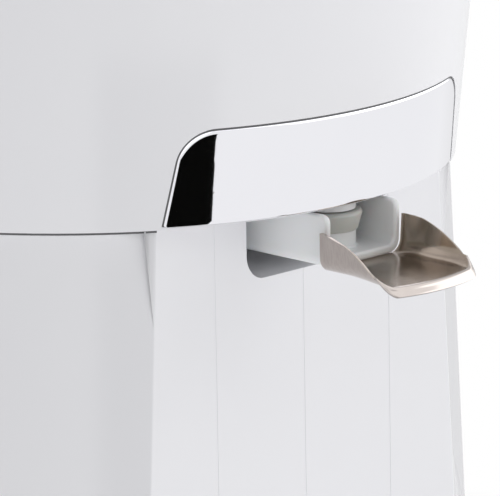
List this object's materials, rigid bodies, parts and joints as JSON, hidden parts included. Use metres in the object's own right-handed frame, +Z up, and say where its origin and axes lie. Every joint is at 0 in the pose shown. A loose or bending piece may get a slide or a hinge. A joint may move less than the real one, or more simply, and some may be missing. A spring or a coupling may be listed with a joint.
{
  "type": "citrus juicer",
  "caption": "Electric citrus juicer: flared round body with flat front, chrome trim, tilting drip-stop spout, geared press-start cone, strainer, bowl and clear domed cover.",
  "frame": {"origin": "centre of the bounding box on the table, under the body", "axes": "+Z up, -Y to the front where the spout points, +X to the right seen from behind the origin looking along +Y; the drive axis is vertical, a little behind the origin"},
  "size_m": [0.2108, 0.2312, 0.326],
  "materials": {
    "gloss_white": "glossy moulded white ABS",
    "chrome_trim": "mirror chrome on moulded plastic",
    "arm_white": "satin white moulded plastic",
    "base_grey": "fine-textured grey plastic",
    "foot_rubber": "matte black rubber",
    "seal_silicone": "translucent grey silicone",
    "spout_steel": "polished stainless sheet",
    "bowl_white": "glossy white food-grade plastic",
    "strainer_white": "satin white food-grade plastic",
    "cone_white": "glossy white food-grade plastic",
    "cover_clear": "clear smoke-tinted plastic",
    "gear_nylon": "natural acetal",
    "case_grey": "dark glass-filled plastic",
    "steel": "bright ground steel",
    "screw_steel": "zinc-plated steel",
    "bronze": "sintered bronze",
    "lamination": "stacked steel laminations",
    "winding": "enamelled copper wire",
    "bracket_alloy": "die-cast alloy",
    "fan_plastic": "black plastic",
    "switch_black": "black phenolic plastic"
  },
  "bodies": {
    "root": {"lower_housing": "gloss_white", "upper_housing": "gloss_white", "chrome_band": "chrome_trim", "base_plate": "base_grey", "rubber_feet": "foot_rubber", "base_screws": "screw_steel", "housing_screws": "screw_steel", "cord_bush": "foot_rubber", "gearbox_case": "case_grey", "gearbox_lid": "case_grey", "gearbox_screws": "screw_steel", "idler_pin": "steel", "lower_bush": "bronze", "upper_bush": "bronze", "shaft_seal": "seal_silicone", "spring_seat": "case_grey", "return_spring": "steel", "switch_body": "switch_black", "switch_screws": "screw_steel", "motor_stator": "lamination", "motor_windings": "winding", "motor_top_bracket": "bracket_alloy", "motor_bottom_bracket": "bracket_alloy", "motor_bearings": "bronze", "motor_mounts": "foot_rubber", "motor_screws": "screw_steel", "terminal_block": "switch_black", "pivot_pin": "steel"},
    "output_gear": {"output_gear": "gear_nylon"},
    "idler_gear": {"idler_gear": "gear_nylon"},
    "rotor": {"motor_rotor": "lamination", "motor_shaft": "steel", "motor_pinion": "gear_nylon", "motor_fan": "fan_plastic"},
    "thrust_cup": {"thrust_cup": "gear_nylon"},
    "drive_shaft": {"drive_shaft": "steel", "shaft_clip": "steel"},
    "switch_plunger": {"switch_plunger": "gear_nylon"},
    "spout": {"spout_arm": "arm_white", "pivot_washers": "foot_rubber", "valve_cap": "seal_silicone", "spout_tip": "spout_steel"},
    "bowl": {"juice_bowl": "bowl_white"},
    "strainer": {"strainer": "strainer_white"},
    "cone_ring": {"cone_ring": "strainer_white"},
    "cone": {"cone": "cone_white", "cone_socket": "cone_white"},
    "cover": {"dust_cover": "cover_clear"}
  },
  "joints": [
    {"name": "drive_spin", "type": "hinge", "parent": "root", "child": "output_gear", "pos_m": [0, 0.00894, 0.166], "axis": [0, 0, 1], "continuous": true},
    {"name": "idler_spin", "type": "hinge", "parent": "root", "child": "idler_gear", "pos_m": [-0.02758, 0.03208, 0.152], "axis": [0, 0, 1], "continuous": true},
    {"name": "rotor_spin", "type": "hinge", "parent": "root", "child": "rotor", "pos_m": [0, 0.05197, 0.092], "axis": [0, 0, 1], "continuous": true},
    {"name": "shaft_press", "type": "slide", "parent": "root", "child": "thrust_cup", "axis": [0, 0, -1], "range_m": [0, 0.003], "stiffness_N_per_m": 1500, "springref_m": -0.003, "deforming": ["return_spring"]},
    {"name": "shaft_spin", "type": "hinge", "parent": "thrust_cup", "child": "drive_shaft", "pos_m": [0, 0.00894, 0.128], "axis": [0, 0, 1], "continuous": true},
    {"name": "plunger_press", "type": "slide", "parent": "root", "child": "switch_plunger", "axis": [0, 0, -1], "range_m": [0, 0.0015]},
    {"name": "spout_tilt", "type": "hinge", "parent": "root", "child": "spout", "pos_m": [0, -0.04806, 0.142], "axis": [1, 0, 0], "range_deg": [0, 8]},
    {"name": "bowl_lift", "type": "slide", "parent": "root", "child": "bowl", "axis": [0, 0, 1], "range_m": [0, 0.09]},
    {"name": "strainer_lift", "type": "slide", "parent": "bowl", "child": "strainer", "axis": [0, 0, 1], "range_m": [0, 0.05]},
    {"name": "cone_press", "type": "slide", "parent": "strainer", "child": "cone_ring", "axis": [0, 0, -1], "range_m": [0, 0.003]},
    {"name": "cone_spin", "type": "hinge", "parent": "cone_ring", "child": "cone", "pos_m": [0, 0.00894, 0.224], "axis": [0, 0, 1], "continuous": true},
    {"name": "cover_lift", "type": "slide", "parent": "strainer", "child": "cover", "axis": [0, 0, 1], "range_m": [0, 0.1]}
  ],
  "couplings": [
    {"joint": "idler_spin", "follows": "drive_spin", "ratio": -5},
    {"joint": "rotor_spin", "follows": "drive_spin", "ratio": 23.333},
    {"joint": "shaft_spin", "follows": "drive_spin", "ratio": 1},
    {"joint": "cone_spin", "follows": "drive_spin", "ratio": 1},
    {"joint": "plunger_press", "follows": "shaft_press", "ratio": 0.5},
    {"joint": "cone_press", "follows": "shaft_press", "ratio": 1}
  ]
}
